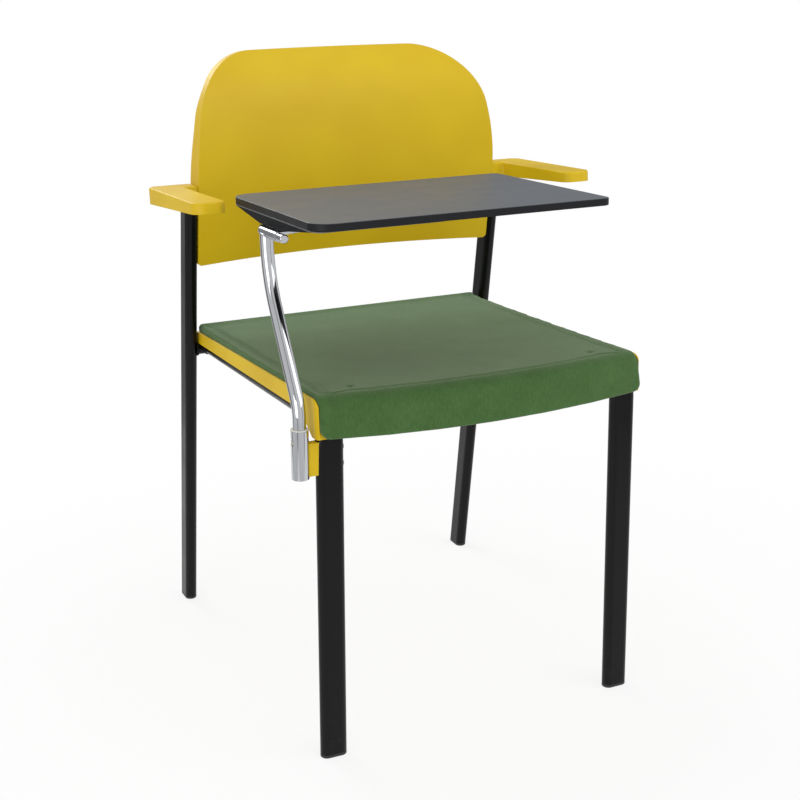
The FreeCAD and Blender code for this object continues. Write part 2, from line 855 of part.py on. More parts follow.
def clamp_screw(z, clearance):
    """Screw through the leg into the clamp block, its head let into the leg's inner side."""
    middle_x = front_foot_x + leg_slope_x * z
    y = front_foot_y + leg_slope_y * z
    seat = Vector(-(middle_x - tube_width / 2) - clamp_screw_head_sink, y, z)
    tip = Vector(-(middle_x + tube_width / 2) - clamp_screw_bite, y, z)
    head_end = seat + Vector(clamp_screw_head_height, 0, 0)
    head = rod(clamp_screw_head_radius, seat, head_end)
    return head.fuse(rod(clamp_screw_radius + clearance, seat, tip))


def clamp_screws(clearance):
    heights = (clamp_bottom_z + clamp_screw_edge_inset, clamp_top_z - clamp_screw_edge_inset)
    return [clamp_screw(z, clearance) for z in heights]


def clamp_block():
    """Block shaped to the leg's round side and to the sleeve."""
    half = clamp_width / 2
    body = block(sleeve_x, sleeve_x + sleeve_outer_radius + clamp_thickness + tube_height / 2,
                 sleeve_y - half, sleeve_y + half, clamp_bottom_z, clamp_top_z)
    sleeve = rod(sleeve_outer_radius, sleeve_axis(sleeve_bottom_z), sleeve_axis(sleeve_top_z))
    shaped = body.cut([sleeve, mirrored(leg_bar(0))] + clamp_screws(bush_seat_clearance))
    return max(shaped.Solids, key=lambda piece: piece.Volume)


def post_bar(radius, extra):
    """Round bar along the post's path, from the plug up to just below the hinge's axis."""
    foot = sleeve_axis(sleeve_bottom_z + plug_height - extra)
    lower = sleeve_axis(sleeve_top_z + post_lower_bend_rise)
    upper = Vector(sleeve_x, hinge_y, post_upper_bend_z)
    top = Vector(sleeve_x, hinge_y, hinge_z - post_top_drop)
    path = Part.Wire(bent_path([foot, lower, upper, top],
                               [post_lower_bend_radius, post_upper_bend_radius]))
    section = Part.Wire(Part.makeCircle(radius, foot, Vector(0, 0, 1)))
    return path.makePipeShell([section], True, False)


def barrel_rod(radius):
    return on_hinge(rod(radius, Vector(0, -barrel_front_reach, 0),
                        Vector(0, barrel_rear_reach, 0)))


def stop_pin(clearance):
    """Radial pin in the post's wall, at the slot's front end when the tablet is in use."""
    pin_angle = math.degrees(math.asin(stop_pin_radius / sleeve_bore_radius))
    angle = math.radians(slot_front_angle - pin_angle - stop_pin_slack_angle)
    outward = Vector(math.cos(angle), math.sin(angle), 0)
    start = sleeve_axis(slot_middle_z) + outward * stop_pin_depth
    end = sleeve_axis(slot_middle_z) + outward * (sleeve_outer_radius - stop_pin_recess)
    return rod(stop_pin_radius + clearance, start, end)


def tablet_post():
    tube = post_bar(post_radius, 0).cut(post_bar(post_radius - post_wall, overrun))
    return tube.cut([barrel_rod(barrel_radius), stop_pin(stop_pin_clearance)])


def hinge_barrel():
    return barrel_rod(barrel_radius).cut(barrel_rod(axle_radius + axle_clearance))


# The hinge and tablet pieces are drawn in a level frame whose y axis is the hinge's axle.
knuckle_front = -barrel_front_reach - front_washer_thickness - knuckle_gap
knuckle_rear = barrel_rear_reach + rear_washer_thickness + knuckle_gap
leaf_bottom = underbody_bottom_height - leaf_thickness
leaf_outer = barrel_radius + leaf_barrel_gap


def axle_rod(radius):
    return rod(radius, Vector(0, knuckle_front - front_knuckle_length + axle_end_cover, 0),
               Vector(0, knuckle_rear + rear_knuckle_length, 0))


def washer(y_from, y_to):
    body = rod(washer_radius, Vector(0, y_from, 0), Vector(0, y_to, 0))
    return on_hinge(body.cut(axle_rod(axle_radius + washer_clearance)))


def hinge_washers():
    return [washer(-barrel_front_reach - front_washer_thickness, -barrel_front_reach),
            washer(barrel_rear_reach, barrel_rear_reach + rear_washer_thickness)]


def knuckle(near, far, web_far):
    """Bored end of the leaf, with a rounded far end, joined to the leaf by a flat web."""
    body = rod(knuckle_radius, Vector(0, near, 0), Vector(0, far, 0))
    body = rounded_edges(body, knuckle_end_round, lambda p: abs(p.y - far) < knuckle_end_round)
    web = block(-knuckle_web_outset, leaf_outer + leaf_thickness, min(near, web_far),
                max(near, web_far), leaf_bottom, underbody_bottom_height)
    return body.fuse(web)


def leaf_screw_places():
    places = []
    for x in (leaf_outer + leaf_screw_near, leaf_outer + leaf_screw_far):
        for y in (-leaf_screw_front, leaf_screw_rear):
            places.append(Vector(x, y, leaf_bottom))
    return places


def leaf_screw(place, clearance):
    """Screw from below the leaf, up through a boss into the board."""
    head = rod(leaf_screw_head_radius, place - Vector(0, 0, leaf_screw_head_height), place)
    tip = Vector(place.x, place.y, tablet_height + leaf_screw_bite)
    return head.fuse(rod(leaf_screw_radius + clearance, place, tip))


def leaf_screws(clearance):
    return [leaf_screw(place, clearance) for place in leaf_screw_places()]


def hinge_leaf():
    front_end = knuckle_front - front_knuckle_length
    rear_end = knuckle_rear + rear_knuckle_length
    front = knuckle(knuckle_front, front_end, knuckle_front - knuckle_web_length)
    rear = knuckle(knuckle_rear, rear_end, rear_end)
    plate = block(leaf_outer, leaf_outer + leaf_width, -leaf_front_reach, leaf_rear_reach,
                  leaf_bottom, underbody_bottom_height)
    body = plate.fuse([front, rear]).removeSplitter()
    cutters = [axle_rod(axle_radius + bush_seat_clearance)]
    return on_hinge(body.cut(cutters + leaf_screws(leaf_screw_hole_clearance)))


def tablet_stop():
    """Lug on the barrel, on which the leaf rests when the tablet is level."""
    lug = block(0, leaf_outer + stop_width, -stop_length, 0, leaf_bottom - stop_depth, leaf_bottom)
    barrel = rod(barrel_radius, Vector(0, -barrel_front_reach, 0), Vector(0, barrel_rear_reach, 0))
    pieces = lug.cut(barrel).Solids
    return on_hinge(max(pieces, key=lambda piece: piece.BoundBox.XMax))


def board_prism(inset, z_from, z_to):
    """The writing board's plan between two heights; inset makes it smaller all round."""
    outer = -tablet_outer_overhang + inset
    inner = -tablet_outer_overhang + tablet_width - inset
    front = -tablet_front_reach + inset
    rear = tablet_depth - tablet_front_reach - inset
    big = tablet_big_corner_radius - inset
    small = tablet_small_corner_radius - inset
    return plan_prism([(outer, rear, big), (outer, front, big), (inner, front, small),
                       (inner, rear, small)], z_from, z_to)


def tray(trim, bottom, top):
    """Faceted body between a small bottom rectangle and a wide rim, rounded like the board."""
    rim_front = tablet_front_reach - underbody_front_inset
    rim_rear = tablet_depth - tablet_front_reach - underbody_rear_inset

    def rectangle(x_from, x_to, y_from, y_to, z):
        corners = [Vector(x_from, y_from, z), Vector(x_to, y_from, z), Vector(x_to, y_to, z),
                   Vector(x_from, y_to, z), Vector(x_from, y_from, z)]
        return Part.makePolygon(corners)

    low = rectangle(underbody_outer_set_in + trim, underbody_bottom_width - trim,
                    -underbody_bottom_front + trim, underbody_bottom_rear - trim, bottom)
    high = rectangle(-tablet_outer_overhang + underbody_rim_inset + trim,
                     underbody_top_width - trim, -rim_front + trim, rim_rear - trim, top)
    body = Part.makeLoft([low, high], True, True)
    return body.common(board_prism(underbody_corner_inset + trim, bottom, top))


def tablet_underbody():
    outer = tray(0, underbody_bottom_height, tablet_height)
    inner = tray(underbody_wall, underbody_bottom_height + underbody_wall, tablet_height)
    body = outer.cut(inner)
    for place in leaf_screw_places():
        base = Vector(place.x, place.y, underbody_bottom_height)
        body = body.fuse(rod(boss_radius, base, Vector(place.x, place.y, tablet_height)))
    return on_hinge(body.cut(leaf_screws(leaf_screw_hole_clearance)))


def tablet_board():
    top = tablet_height + tablet_thickness
    body = board_prism(0, tablet_height, top)
    middle = (tablet_height + top) / 2
    body = rounded_edges(body, tablet_edge_round,
                         lambda p: abs(p.z - middle) > tablet_thickness / 2 - tablet_edge_round)
    return on_hinge(body.cut(leaf_screws(leaf_screw_hole_clearance)))


def frame_parts():
    seat_holes = [seat_screw(place, bush_seat_clearance) for place in seat_screw_places()]
    back_holes = [back_screw(place, bush_seat_clearance) for place in back_screw_places()]
    crossbar = crossbar_bar(0, rail_rear_y, upright_inner_x)
    clamp_holes = [mirrored(hole) for hole in clamp_screws(bush_seat_clearance)]
    parts = {"side_frame_right": mirrored(side_frame([crossbar] + seat_holes + clamp_holes)),
             "side_frame_left": side_frame([crossbar] + seat_holes),
             "rear_crossbar": rear_crossbar(),
             "front_crossbar": front_crossbar(),
             "rear_upright_left": rear_upright(back_holes)}
    parts["rear_upright_right"] = mirrored(parts["rear_upright_left"])
    front_glide = foot_glide(leg_bar(0), leg_bar(tube_wall + glide_stem_clearance))
    rear_glide = foot_glide(upright_bar(0), upright_bar(tube_wall + glide_stem_clearance))
    parts["foot_glide_front_left"] = front_glide
    parts["foot_glide_front_right"] = mirrored(front_glide)
    parts["foot_glide_rear_left"] = rear_glide
    parts["foot_glide_rear_right"] = mirrored(rear_glide)
    return parts


def seat_parts():
    holes = [seat_screw(place, bush_seat_clearance) for place in seat_screw_places()]
    screws = [seat_screw(place, 0) for place in seat_screw_places()]
    crossbar = crossbar_bar(-shell_tube_clearance, rail_rear_y, shell_half_width)
    return {"seat_shell": seat_shell(holes + [crossbar]), "seat_board": seat_board(holes),
            "seat_pad": seat_pad(), "seat_screws": Part.makeCompound(screws)}


def back_parts():
    holes = [back_screw(place, bush_seat_clearance) for place in back_screw_places()]
    screws = [back_screw(place, 0) for place in back_screw_places()]
    both = holes + [mirrored(hole) for hole in holes]
    return {"back_shell": back_shell(both),
            "back_screws": Part.makeCompound(screws + [mirrored(screw) for screw in screws])}


def arm_parts():
    screws = arm_screws(0)
    pad = armrest()
    bracket = arm_bracket()
    return {"armrest_left": pad, "armrest_right": mirrored(pad),
            "arm_bracket_left": bracket, "arm_bracket_right": mirrored(bracket),
            "arm_screws": Part.makeCompound(screws + [mirrored(screw) for screw in screws])}


def post_parts():
    return {"clamp_block": clamp_block(), "clamp_screws": Part.makeCompound(clamp_screws(0)),
            "post_sleeve": post_sleeve(), "upper_bush": upper_bush(),
            "lower_bush": lower_bush(), "sleeve_plug": sleeve_plug(),
            "tablet_post": tablet_post(), "stop_pin": stop_pin(0)}


def tablet_parts():
    return {"hinge_barrel": hinge_barrel(), "hinge_axle": on_hinge(axle_rod(axle_radius)),
            "hinge_washers": Part.makeCompound(hinge_washers()), "hinge_leaf": hinge_leaf(),
            "tablet_stop": tablet_stop(), "tablet_underbody": tablet_underbody(),
            "leaf_screws": Part.makeCompound([on_hinge(screw) for screw in leaf_screws(0)]),
            "tablet_board": tablet_board()}


def write_parts():
    os.makedirs("parts", exist_ok=True)
    for group in (frame_parts(), seat_parts(), back_parts(), arm_parts(), post_parts(),
                  tablet_parts()):
        for name, shape in group.items():
            shape.exportStep("parts/" + name + ".step")
            bounds = shape.BoundBox
            print(name, len(shape.Solids), shape.isValid(), round(shape.Volume),
                  [round(value, 1) for value in (bounds.XMin, bounds.XMax, bounds.YMin,
                                                 bounds.YMax, bounds.ZMin, bounds.ZMax)])


write_parts()
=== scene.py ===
import math

import bmesh
import bpy
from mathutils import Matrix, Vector
from mathutils.bvhtree import BVHTree


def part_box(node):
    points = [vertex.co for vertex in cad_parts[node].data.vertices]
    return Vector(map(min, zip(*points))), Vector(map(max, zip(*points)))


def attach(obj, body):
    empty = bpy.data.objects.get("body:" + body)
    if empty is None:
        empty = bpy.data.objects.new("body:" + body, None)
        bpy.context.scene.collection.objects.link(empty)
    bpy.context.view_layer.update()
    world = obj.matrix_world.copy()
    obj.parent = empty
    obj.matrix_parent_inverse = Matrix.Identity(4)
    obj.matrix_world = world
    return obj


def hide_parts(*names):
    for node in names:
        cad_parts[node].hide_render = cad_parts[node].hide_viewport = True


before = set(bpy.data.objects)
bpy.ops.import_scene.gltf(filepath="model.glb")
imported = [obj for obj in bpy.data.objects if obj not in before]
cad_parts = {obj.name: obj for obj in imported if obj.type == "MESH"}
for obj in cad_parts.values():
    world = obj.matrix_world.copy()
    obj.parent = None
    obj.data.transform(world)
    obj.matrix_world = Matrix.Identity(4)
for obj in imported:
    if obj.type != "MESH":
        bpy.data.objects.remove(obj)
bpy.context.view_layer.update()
scene = bpy.context.scene

# Camera. It stands 1.9 m off, before the corner of the chair at the sitter's right hand, at the height
# of a standing viewer's chest, and looks down a little, so that the seat, the tablet and the outer side show.
camera = bpy.data.objects.new("camera", bpy.data.cameras.new("camera"))
scene.collection.objects.link(camera)
camera.location = (-0.8180, -1.7287, 1.0036)
camera.rotation_euler = (math.radians(71.53), 0, math.radians(-25.22))
camera.data.lens = 66.69
camera.data.sensor_width = 36
scene.camera = camera
scene.view_settings.view_transform = "Standard"


# Studio. A small painted floor under a white surround of large panels, with dark gaps between them, so that
# chrome has something dark to mirror. Three broad lamps stand in front, at the side and above, one behind.
def linear(hex_colour):
    """Linear red, green, blue and alpha of an sRGB hex colour."""
    parts = [int(hex_colour[i:i + 2], 16) / 255 for i in (1, 3, 5)]
    return [p / 12.92 if p <= 0.04045 else ((p + 0.055) / 1.055) ** 2.4 for p in parts] + [1.0]


def add(tree, kind, inputs=None, **settings):
    """Adds a node with its settings. An input that is given as a socket is linked, any other is set."""
    added = tree.nodes.new(kind)
    for setting, value in settings.items():
        setattr(added, setting, value)
    for name, value in (inputs or {}).items():
        if isinstance(value, bpy.types.NodeSocket):
            tree.links.new(value, added.inputs[name])
        else:
            added.inputs[name].default_value = value
    return added


surround_light = 0.70
# Bearing in degrees and grey of the surround that metal and gloss mirror, from panel to gap to panel.
panels_mirrored = (
    (-180, 0.80), (-142, 0.74), (-138, 0.14), (-133, 0.14), (-129, 0.80), (-56, 0.88), (-52, 0.16),
    (-48, 0.16), (-44, 0.94), (15, 0.85), (40, 0.30), (62, 0.30), (76, 1.0), (98, 1.0), (108, 0.30),
    (132, 0.30), (137, 0.12), (144, 0.12), (149, 0.84), (180, 0.80))
# Towards the floor the mirrored surround darkens to this share, between these heights of the ray's direction.
darkest_height, darkening_height, darkest_share = -0.62, -0.3, 0.4
world = bpy.data.worlds.new("studio")
scene.world = world
world.use_nodes = True
tree = world.node_tree
tree.nodes.clear()
rays = add(tree, "ShaderNodeLightPath")
way = add(tree, "ShaderNodeSeparateXYZ", {0: add(tree, "ShaderNodeTexCoord").outputs["Generated"]}).outputs
bearing = add(tree, "ShaderNodeMath", {0: way["Y"], 1: way["X"]}, operation="ARCTAN2")
turn = add(tree, "ShaderNodeMapRange", {
    "Value": bearing.outputs[0], "From Min": -math.pi, "From Max": math.pi})
panels = add(tree, "ShaderNodeValToRGB", {0: turn.outputs[0]})
stops = panels.color_ramp.elements
for stop, stop_grey in zip(stops, (panels_mirrored[0][1], panels_mirrored[-1][1])):
    stop.color = (stop_grey, stop_grey, stop_grey, 1)
for stop_bearing, stop_grey in panels_mirrored[1:-1]:
    stops.new((stop_bearing + 180) / 360).color = (stop_grey, stop_grey, stop_grey, 1)
mirrored_grey = add(tree, "ShaderNodeSeparateColor", {0: panels.outputs[0]})
below = add(tree, "ShaderNodeMapRange", {
    "Value": way["Z"], "From Min": darkest_height, "From Max": darkening_height,
    "To Min": darkest_share, "To Max": 1.0})
faded_grey = add(tree, "ShaderNodeMath", {
    0: mirrored_grey.outputs[0], 1: below.outputs[0]}, operation="MULTIPLY")
grey = add(tree, "ShaderNodeMix", {
    0: rays.outputs["Is Glossy Ray"], 2: surround_light, 3: faded_grey.outputs[0]}, data_type="FLOAT")
unlit = add(tree, "ShaderNodeMath", {
    0: rays.outputs["Is Camera Ray"], 1: rays.outputs["Is Transmission Ray"]}, operation="MAXIMUM")
level = add(tree, "ShaderNodeMix", {0: unlit.outputs[0], 2: grey.outputs[0], 3: 1.0}, data_type="FLOAT")
surround = add(tree, "ShaderNodeBackground", {"Color": (1, 1, 1, 1), "Strength": level.outputs[0]})
add(tree, "ShaderNodeOutputWorld", {"Surface": surround.outputs[0]})

floor_mesh = bpy.data.meshes.new("floor")
floor_reach = 1.05
# The floor turns to the white of the surround before its edge, so that no edge shows.
whitening_start, whitening_end, white_near_chair = 0.45, 1.0, 0.82
corners = [(-floor_reach, -floor_reach, 0), (floor_reach, -floor_reach, 0),
           (floor_reach, floor_reach, 0), (-floor_reach, floor_reach, 0)]
floor_mesh.from_pydata(corners, [], [(0, 1, 2, 3)])
floor = bpy.data.objects.new("floor", floor_mesh)
scene.collection.objects.link(floor)
painted_floor = bpy.data.materials.new("painted_studio_floor")
painted_floor.use_nodes = True
tree = painted_floor.node_tree
tree.nodes.clear()
rays = add(tree, "ShaderNodeLightPath")
seen_or_mirrored = add(tree, "ShaderNodeMath", {
    0: rays.outputs["Is Camera Ray"], 1: rays.outputs["Is Glossy Ray"]}, operation="MAXIMUM")
seen = add(tree, "ShaderNodeMath", {
    0: seen_or_mirrored.outputs[0], 1: rays.outputs["Is Transmission Ray"]}, operation="MAXIMUM")
floor_place = add(tree, "ShaderNodeTexCoord").outputs["Object"]
from_chair = add(tree, "ShaderNodeVectorMath", {0: floor_place}, operation="LENGTH")
white_share = add(tree, "ShaderNodeMapRange", {
    "Value": from_chair.outputs["Value"], "From Min": whitening_start, "From Max": whitening_end,
    "To Min": white_near_chair, "To Max": 1.0})
glow_share = add(tree, "ShaderNodeMath", {
    0: seen.outputs[0], 1: white_share.outputs[0]}, operation="MULTIPLY")
paint = add(tree, "ShaderNodeBsdfDiffuse", {"Color": linear("#EDEDED")})
glow = add(tree, "ShaderNodeEmission", {"Color": (1, 1, 1, 1), "Strength": 1.0})
both = add(tree, "ShaderNodeMixShader", {0: glow_share.outputs[0], 1: paint.outputs[0], 2: glow.outputs[0]})
add(tree, "ShaderNodeOutputMaterial", {"Surface": both.outputs[0]})
floor_mesh.materials.append(painted_floor)

lamps_aim = Vector((0, 0, 0.45))
for lamp_name, watts, size, place in (
        ("key_lamp", 27, 2.4, (1.7, -1.9, 2.2)),
        ("top_lamp", 4, 2.0, (-0.2, 0.3, 2.6)),
        ("side_lamp", 20, 1.6, (-2.3, -1.6, 0.8)),
        ("back_lamp", 24, 1.1, (-0.65, 2.2, 1.9))):
    lamp = bpy.data.objects.new(lamp_name, bpy.data.lights.new(lamp_name, "AREA"))
    scene.collection.objects.link(lamp)
    lamp.visible_camera = False
    lamp.data.energy = watts
    lamp.data.size = size
    lamp.location = place
    lamp.rotation_euler = (lamps_aim - lamp.location).to_track_quat("-Z", "Y").to_euler()


# Steel frame. Flat-oval tube, cold bent and welded: two side frames whose front legs bend into the seat
# rails, two rear uprights and two crossbars. All of it is sprayed with gloss black powder and baked.
def begin(name):
    """A new material with its node tree, its shader and the piece's own coordinates in metres."""
    material = bpy.data.materials.new(name)
    material.use_nodes = True
    tree = material.node_tree
    return material, tree, tree.nodes["Principled BSDF"], add(tree, "ShaderNodeTexCoord").outputs["Object"]


def cells(size_mm):
    """Texture scale at which one cell of the pattern is that many millimetres wide."""
    return 1000 / size_mm


def relief(tree, shader, height, depth_mm, strength):
    """Raises the surface by a pattern whose full height is depth_mm."""
    bump = add(tree, "ShaderNodeBump", {"Height": height, "Distance": depth_mm / 1000, "Strength": strength})
    tree.links.new(bump.outputs["Normal"], shader.inputs["Normal"])


def give(material, *node_names):
    """Puts a material on carried-over CAD nodes."""
    for node_name in node_names:
        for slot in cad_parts[node_name].material_slots:
            slot.material = material


# Baked powder flows into a gloss film with a faint orange peel. Shoes scuff the lowest part of a leg.
powder_coat, tree, shader, place = begin("gloss_powder_coated_steel")
orange_peel = add(tree, "ShaderNodeTexNoise", {"Vector": place, "Scale": cells(2.2), "Detail": 2.0})
handling = add(tree, "ShaderNodeTexNoise", {
    "Vector": place, "Scale": cells(55), "Detail": 5.0, "Roughness": 0.65})
sheen_level = add(tree, "ShaderNodeMapRange", {
    "Value": handling.outputs[0], "From Min": 0.35, "From Max": 0.7, "To Min": 0.24, "To Max": 0.36})
height_up = add(tree, "ShaderNodeSeparateXYZ", {0: place})
near_floor = add(tree, "ShaderNodeMapRange", {
    "Value": height_up.outputs["Z"], "From Min": 0.09, "From Max": 0.005, "To Min": 0.0, "To Max": 0.5})
rubbing = add(tree, "ShaderNodeTexNoise", {
    "Vector": place, "Scale": cells(9), "Detail": 6.0, "Roughness": 0.75})
rubbed = add(tree, "ShaderNodeMapRange", {"Value": rubbing.outputs[0], "From Min": 0.52, "From Max": 0.72})
scuff = add(tree, "ShaderNodeMath", {0: near_floor.outputs[0], 1: rubbed.outputs[0]}, operation="MULTIPLY")
black = add(tree, "ShaderNodeMix", {
    0: scuff.outputs[0], 6: linear("#070708"), 7: linear("#2A2A2B")}, data_type="RGBA")
tree.links.new(black.outputs[2], shader.inputs["Base Color"])
tree.links.new(sheen_level.outputs[0], shader.inputs["Roughness"])
shader.inputs["Specular IOR Level"].default_value = 0.2
relief(tree, shader, orange_peel.outputs[0], 0.12, 0.25)

give(powder_coat, "side_frame_right", "side_frame_left", "rear_crossbar", "front_crossbar",
     "rear_upright_right", "rear_upright_left")


# Welds. One bead of gas-shielded weld round each end of the crossbars and rails, with a ripple about every
# 2 mm, under the same powder as the tubes.
def placed(mesh, name):
    """A new object at the origin that shows a mesh."""
    piece = bpy.data.objects.new(name, mesh)
    scene.collection.objects.link(piece)
    return piece


def settled(piece, name):
    """The mesh that a piece has after its modifiers."""
    bpy.context.view_layer.update()
    mesh = bpy.data.meshes.new_from_object(piece.evaluated_get(bpy.context.evaluated_depsgraph_get()))
    mesh.name = name
    return mesh


ripple_pitch = 0.0019
ripple_radius = 0.0021
ripple_flatness = 0.72
tube_half_width = 0.017
tube_nose = 0.0085
seat_tilt = math.radians(3.5)
seat_up = Vector((0, math.sin(seat_tilt), math.cos(seat_tilt)))
seat_forward = Vector((0, -math.cos(seat_tilt), math.sin(seat_tilt)))
seat_origin = Vector((0, 0.2157, 0.4102))
weld_mesh = bpy.data.meshes.new("weld_seams")
seam_points, seam_edges = [], []


def seam(middle, width_way, rise_way, sunk_way):
    """Rows of points round a flat-oval tube end; sunk_way is set where it meets a round nose."""
    straight = tube_half_width - tube_nose
    round_steps = 10
    ring = []
    for end in (1, -1):
        for step in range(round_steps + 1):
            angle = end * math.pi / 2 - math.pi * step / round_steps
            ring.append((end * straight + tube_nose * math.cos(angle), tube_nose * math.sin(angle)))
    first = len(seam_points)
    for width, rise in ring:
        sunk = tube_nose - math.sqrt(max(0.0, tube_nose ** 2 - rise ** 2))
        seam_points.append(middle + width_way * width + rise_way * rise + sunk_way * sunk)
    seam_edges.extend((first + i, first + (i + 1) % len(ring)) for i in range(len(ring)))


front_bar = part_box("front_crossbar")
rear_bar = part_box("rear_crossbar")
front_bar_middle = (front_bar[0] + front_bar[1]) / 2
rail_end_middle = 0.197
for side in (-1, 1):
    across = Vector((side, 0, 0))
    seam(Vector((side * rear_bar[1][0], seat_origin.y, seat_origin.z)), seat_forward, seat_up, Vector())
    nose = front_bar[1][0] - tube_nose
    seam(Vector((side * nose, front_bar_middle[1], front_bar_middle[2])), seat_forward, seat_up, across)
    rail_end = seat_origin + across * rail_end_middle + seat_forward * tube_half_width
    seam(rail_end, across, seat_up, -seat_forward)
weld_mesh.from_pydata(seam_points, seam_edges, [])
weld_tree = bpy.data.node_groups.new("weld_ripples", "GeometryNodeTree")
weld_tree.is_modifier = True
weld_inputs = {}
for label, kind in (("Seams", "NodeSocketGeometry"), ("Pitch", "NodeSocketFloat"),
                    ("Ripple radius", "NodeSocketFloat"), ("Coating", "NodeSocketMaterial")):
    weld_inputs[label] = weld_tree.interface.new_socket(label, in_out="INPUT", socket_type=kind).identifier
weld_tree.interface.new_socket("Beads", in_out="OUTPUT", socket_type="NodeSocketGeometry")
given = add(weld_tree, "NodeGroupInput").outputs
run = add(weld_tree, "GeometryNodeMeshToCurve", {0: given["Seams"]})
spots = add(weld_tree, "GeometryNodeCurveToPoints", {
    "Curve": run.outputs[0], "Length": given["Pitch"]}, mode="LENGTH")
ripple = add(weld_tree, "GeometryNodeMeshIcoSphere", {"Radius": given["Ripple radius"], "Subdivisions": 2})
beads = add(weld_tree, "GeometryNodeInstanceOnPoints", {
    "Points": spots.outputs["Points"], "Instance": ripple.outputs["Mesh"],
    "Rotation": spots.outputs["Rotation"], "Scale": (1.0, 1.0, ripple_flatness)})
solid_beads = add(weld_tree, "GeometryNodeRealizeInstances", {0: beads.outputs[0]})
coated = add(weld_tree, "GeometryNodeSetMaterial", {
    "Geometry": solid_beads.outputs[0], "Material": given["Coating"]})
add(weld_tree, "NodeGroupOutput", {0: coated.outputs[0]})
seams = placed(weld_mesh, "weld_seams")
grown = seams.modifiers.new("ripples", "NODES")
grown.node_group = weld_tree
for label, value in (("Pitch", ripple_pitch), ("Ripple radius", ripple_radius), ("Coating", powder_coat)):
    grown[weld_inputs[label]] = value
welds = placed(settled(seams, "frame_welds"), "frame_welds")
bpy.data.objects.remove(seams)
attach(welds, "chair")


# Foot glides. Black polyethylene plugs, injection moulded and pressed into the four tube ends.
glide_plastic, tree, shader, place = begin("moulded_polyethylene")
grit = add(tree, "ShaderNodeTexNoise", {"Vector": place, "Scale": cells(0.9), "Detail": 3.0})
wear = add(tree, "ShaderNodeTexNoise", {"Vector": place, "Scale": cells(7), "Detail": 4.0, "Roughness": 0.7})
worn_black = add(tree, "ShaderNodeMix", {
    0: wear.outputs[0], 6: linear("#101011"), 7: linear("#2C2B2A")}, data_type="RGBA")
tree.links.new(worn_black.outputs[2], shader.inputs["Base Color"])
shader.inputs["Roughness"].default_value = 0.55
relief(tree, shader, grit.outputs[0], 0.1, 0.5)

give(glide_plastic, "foot_glide_front_right", "foot_glide_front_left",
     "foot_glide_rear_right", "foot_glide_rear_left")


# Seat shell. One injection moulding of yellow polypropylene that lies on the rails, carries the seat
# board and hangs beside the tubes as cheeks.
shell_yellow = "#DBBA12"
shell_yellow_deep = "#D2AE0C"
polypropylene, tree, shader, place = begin("moulded_polypropylene")
# The tool's spark-eroded skin is about 0.3 mm, too fine to show, so its cells are drawn at 1.3 mm.
skin = add(tree, "ShaderNodeTexNoise", {
    "Vector": place, "Scale": cells(1.3), "Detail": 3.0, "Roughness": 0.55})
flow = add(tree, "ShaderNodeTexNoise", {"Vector": place, "Scale": cells(140), "Detail": 2.0})
flow_share = add(tree, "ShaderNodeMapRange", {"Value": flow.outputs[0], "From Min": 0.3, "From Max": 0.7})
tint = add(tree, "ShaderNodeMix", {
    0: flow_share.outputs[0], 6: linear(shell_yellow), 7: linear(shell_yellow_deep)}, data_type="RGBA")
tree.links.new(tint.outputs[2], shader.inputs["Base Color"])
gloss = add(tree, "ShaderNodeMapRange", {
    "Value": skin.outputs[0], "From Min": 0.3, "From Max": 0.7, "To Min": 0.42, "To Max": 0.55})
tree.links.new(gloss.outputs[0], shader.inputs["Roughness"])
shader.inputs["Specular IOR Level"].default_value = 0.3
relief(tree, shader, skin.outputs[0], 0.05, 0.3)

give(polypropylene, "seat_shell")


# Seat board. Seven-ply birch let into the shell, which the upholstery is stapled round.
plywood, tree, shader, place = begin("birch_plywood")
# The grain's cells are 10 mm across it, 50 mm along it and 0.7 mm through the plies.
plies = add(tree, "ShaderNodeMapping", {"Vector": place, "Scale": (6, 1.2, 90)})
grain = add(tree, "ShaderNodeTexNoise", {
    "Vector": plies.outputs[0], "Scale": cells(60), "Detail": 6.0, "Distortion": 0.4})
birch = add(tree, "ShaderNodeMix", {
    0: grain.outputs[0], 6: linear("#D9BE93"), 7: linear("#B08D5E")}, data_type="RGBA")
tree.links.new(birch.outputs[2], shader.inputs["Base Color"])
shader.inputs["Roughness"].default_value = 0.62
relief(tree, shader, grain.outputs[0], 0.15, 0.4)

give(plywood, "seat_board")


# Seat pad. Moulded foam under green woven wool, stretched over the board and round the front edge.
# The cover is pulled down behind the seat's rear edge, where the foam swells into a low roll.
def merged(node_name):
    """A CAD node's shape with its loose triangles joined, to build on."""
    shape = bmesh.new()
    shape.from_mesh(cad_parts[node_name].data)
    bmesh.ops.remove_doubles(shape, verts=shape.verts, dist=0.00001)
    return shape


cover_cell = 0.004
start_inset = 0.0007
underside_facing = -0.35
blowing_frames = 20
swell_cap = 0.0025

shape = merged("seat_pad")
foam = bpy.data.meshes.new("foam")
shape.to_mesh(foam)
foam_skin = BVHTree.FromBMesh(shape)
shape.free()
cushion = placed(foam, "seat_cushion")
evened = cushion.modifiers.new("evened", "REMESH")
evened.mode = "VOXEL"
evened.voxel_size = cover_cell
cushion.data = settled(cushion, "evened_foam")
cushion.modifiers.remove(evened)
held = cushion.vertex_groups.new(name="held")
for vertex in cushion.data.vertices:
    underneath = vertex.normal.dot(seat_up) < underside_facing
    held.add([vertex.index], 1.0 if underneath else 0.0, "REPLACE")
    if not underneath:
        vertex.co -= vertex.normal * start_inset
cloth = cushion.modifiers.new("cloth", "CLOTH")
cloth.settings.quality = 6
cloth.settings.mass = 0.3
cloth.settings.vertex_group_mass = "held"
cloth.settings.use_pressure = True
cloth.settings.uniform_pressure_force = 4.0
cloth.settings.effector_weights.gravity = 0
cloth.collision_settings.use_collision = False
cloth.point_cache.frame_end = blowing_frames
